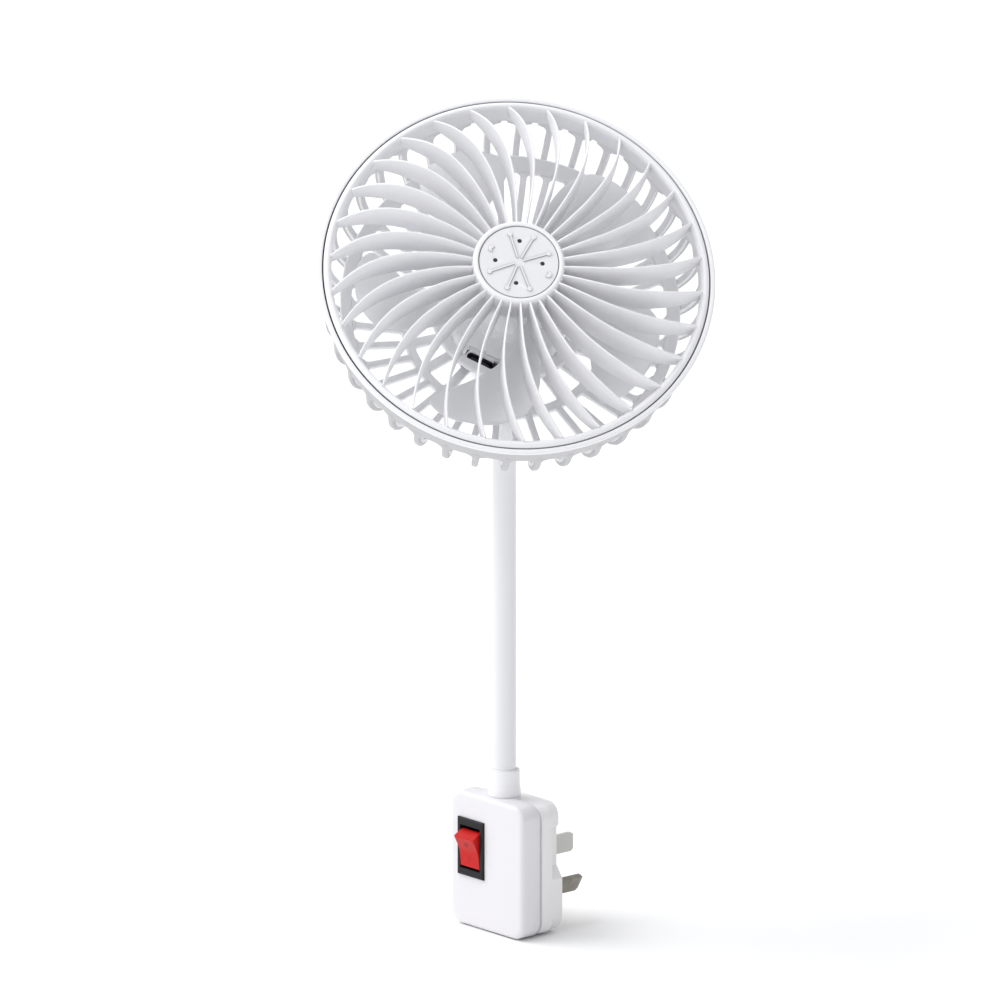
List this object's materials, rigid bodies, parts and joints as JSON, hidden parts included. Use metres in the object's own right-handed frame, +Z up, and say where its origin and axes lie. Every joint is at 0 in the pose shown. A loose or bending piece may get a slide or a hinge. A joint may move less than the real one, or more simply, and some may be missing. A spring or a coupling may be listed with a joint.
{
  "type": "wall plug fan",
  "caption": "Small round caged fan on a bendable neck that rises from a switched three-pin mains plug; the head has curved front vanes and a ribbed bowl-shaped rear casing.",
  "frame": {"origin": "centre of the plug's rear face, where it meets the wall socket", "axes": "+Y out of the plug into the wall along the pins, +Z up, +X to the right seen from the switch side, so the switch faces -Y"},
  "size_m": [0.1125, 0.1229, 0.2713],
  "materials": {
    "white_plastic": "white moulded ABS with a satin gloss",
    "shell_plastic": "white moulded plug shell, satin gloss",
    "cap_plastic": "pale grey-white cap with low relief",
    "blade_plastic": "translucent white blades",
    "sleeve_vinyl": "white vinyl sleeve, satin",
    "red_plastic": "glossy red switch plastic",
    "bezel_plastic": "near-black moulded frame",
    "black_plastic": "black moulded plastic",
    "lead_rubber": "black lead sheath",
    "steel": "plain steel",
    "nickel_steel": "nickel-plated steel can",
    "lamination": "stacked steel laminations",
    "ferrite": "dark ferrite",
    "copper": "enamelled copper wire",
    "brass": "brass",
    "bronze": "sintered bronze",
    "board_green": "green circuit board",
    "tape_yellow": "yellow winding tape",
    "capacitor_sleeve": "dark blue shrink sleeve",
    "ceramic": "tan ceramic",
    "pin_metal": "dull, darkened brass blade",
    "earth_metal": "nickel-plated brass blade, pale and satin"
  },
  "bodies": {
    "base": {"front_shell": "shell_plastic", "rear_shell": "shell_plastic", "shell_screws": "steel", "switch_frame": "bezel_plastic", "switch_lever": "brass", "switch_spring": "steel", "switch_terminals": "brass", "power_board": "board_green", "transformer": "tape_yellow", "smoothing_capacitors": "capacitor_sleeve", "rectifier": "black_plastic", "fuse": "ceramic", "live_pin": "pin_metal", "neutral_pin": "pin_metal", "earth_pin": "earth_metal", "neck_collar": "white_plastic", "collar_nut": "brass", "plug_lead": "lead_rubber", "neck_sleeve_0": "sleeve_vinyl", "neck_core_0": "steel"},
    "rocker": {"switch_rocker": "red_plastic"},
    "neck_1": {"neck_sleeve_1": "sleeve_vinyl", "neck_core_1": "steel"},
    "neck_2": {"neck_sleeve_2": "sleeve_vinyl", "neck_core_2": "steel"},
    "neck_3": {"neck_sleeve_3": "sleeve_vinyl", "neck_core_3": "steel"},
    "neck_4": {"neck_sleeve_4": "sleeve_vinyl", "neck_core_4": "steel"},
    "neck_5": {"neck_sleeve_5": "sleeve_vinyl", "neck_core_5": "steel"},
    "head": {"front_grille": "white_plastic", "hub_cap": "cap_plastic", "rear_casing": "white_plastic", "back_grille": "white_plastic", "motor_housing": "white_plastic", "pod_cover": "white_plastic", "motor_can": "nickel_steel", "motor_magnets": "ferrite", "motor_end_cap": "black_plastic", "motor_bush_front": "bronze", "motor_bush_rear": "bronze", "motor_brushes": "brass", "motor_board": "board_green", "lead_socket": "black_plastic", "motor_screws": "steel", "pod_screws": "steel", "neck_ferrule": "white_plastic", "head_lead": "lead_rubber", "neck_sleeve_6": "sleeve_vinyl", "neck_core_6": "steel"},
    "rotor": {"impeller": "blade_plastic", "motor_shaft": "steel", "rotor_core": "lamination", "rotor_windings": "copper", "commutator": "brass"}
  },
  "joints": [
    {"name": "fan_spin", "type": "hinge", "parent": "head", "child": "rotor", "pos_m": [0.00969, -0.01308, 0.19978], "axis": [0.6187, -0.4221, 0.6626], "continuous": true},
    {"name": "switch_rocker", "type": "hinge", "parent": "base", "child": "rocker", "pos_m": [-0.0071, -0.0155, 0.0038], "axis": [1, 0, 0], "range_deg": [-32, 0]},
    {"name": "neck_fore_1", "type": "hinge", "parent": "base", "child": "neck_1", "pos_m": [0, -0.0099, 0.046], "axis": [1, 0, 0], "range_deg": [-20, 20]},
    {"name": "neck_side_1", "type": "hinge", "parent": "neck_1", "child": "neck_2", "pos_m": [0, -0.0099, 0.061], "axis": [0, 1, 0], "range_deg": [-20, 20]},
    {"name": "neck_fore_2", "type": "hinge", "parent": "neck_2", "child": "neck_3", "pos_m": [0, -0.0099, 0.076], "axis": [1, 0, 0], "range_deg": [-20, 20]},
    {"name": "neck_side_2", "type": "hinge", "parent": "neck_3", "child": "neck_4", "pos_m": [0, -0.0099, 0.091], "axis": [0, 1, 0], "range_deg": [-20, 20]},
    {"name": "neck_fore_3", "type": "hinge", "parent": "neck_4", "child": "neck_5", "pos_m": [0, -0.0099, 0.106], "axis": [1, 0, 0], "range_deg": [-20, 20]},
    {"name": "neck_side_3", "type": "hinge", "parent": "neck_5", "child": "head", "pos_m": [0, -0.0099, 0.121], "axis": [0, 1, 0], "range_deg": [-20, 20]}
  ],
  "couplings": [
    {"joint": "neck_fore_2", "follows": "neck_fore_1", "ratio": 1},
    {"joint": "neck_fore_3", "follows": "neck_fore_1", "ratio": 1},
    {"joint": "neck_side_2", "follows": "neck_side_1", "ratio": 1},
    {"joint": "neck_side_3", "follows": "neck_side_1", "ratio": 1}
  ]
}
